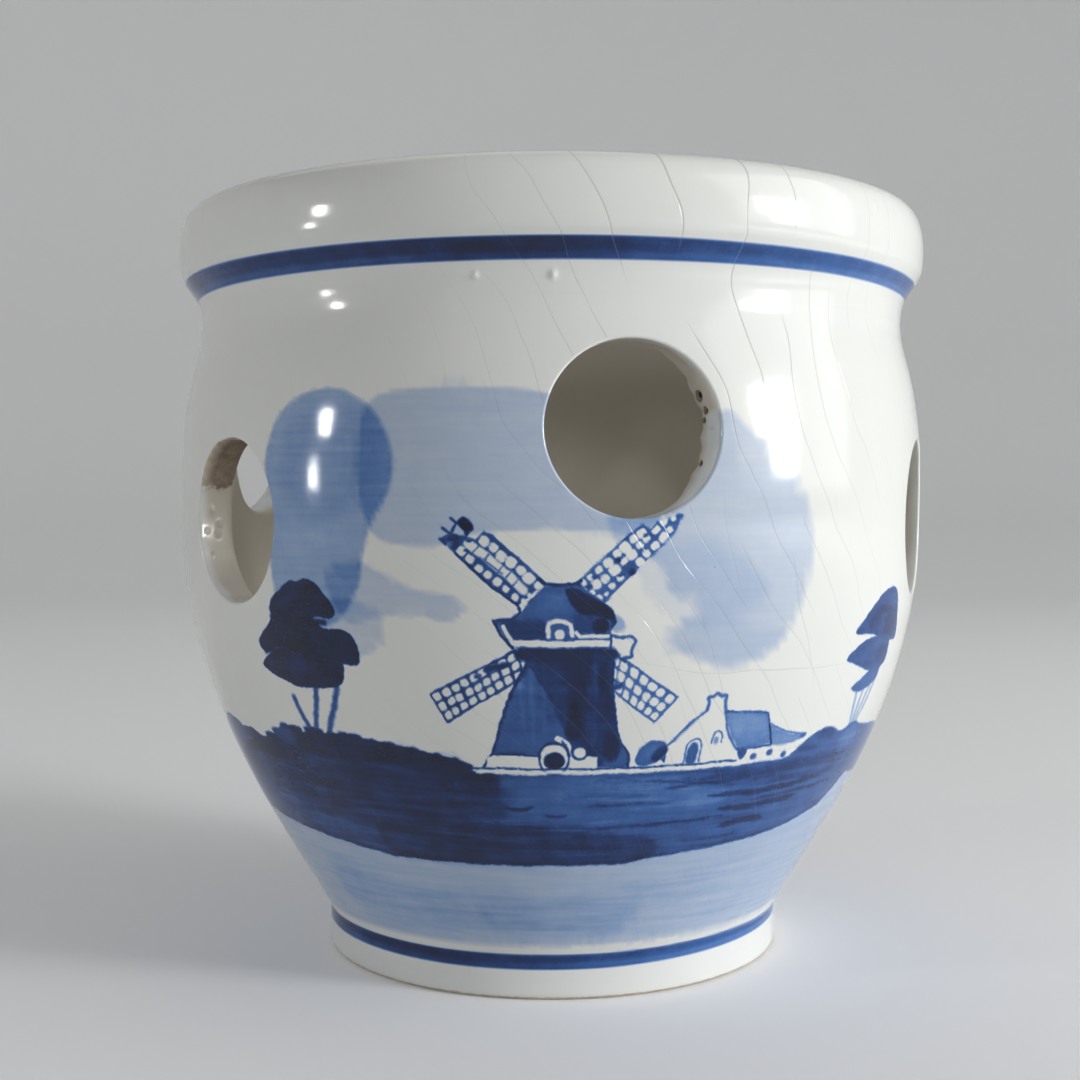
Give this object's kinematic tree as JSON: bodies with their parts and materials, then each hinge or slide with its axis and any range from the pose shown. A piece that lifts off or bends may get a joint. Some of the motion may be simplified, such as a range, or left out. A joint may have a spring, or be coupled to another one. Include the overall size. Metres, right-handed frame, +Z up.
{
  "type": "crocus pot",
  "caption": "Round glazed earthenware crocus pot with a thick rolled rim, a foot ring and two staggered rows of round side holes.",
  "frame": {"origin": "on the axis of the pot, at the plane it stands on", "axes": "+Z up along the axis; one hole of the upper row and the middle of the painted scene face -Y"},
  "size_m": [0.128, 0.128, 0.1254],
  "materials": {
    "painted_glaze": "glossy crackled tin-white glaze with cobalt blue hand painting",
    "glaze": "glossy white glaze",
    "bare_clay": "white glaze on the side, wiped to bare cream clay on the resting face"
  },
  "bodies": {
    "root": {"foot_ring": "bare_clay", "floor_disc": "glaze", "belly_wall": "painted_glaze", "rolled_rim": "painted_glaze"}
  },
  "joints": []
}
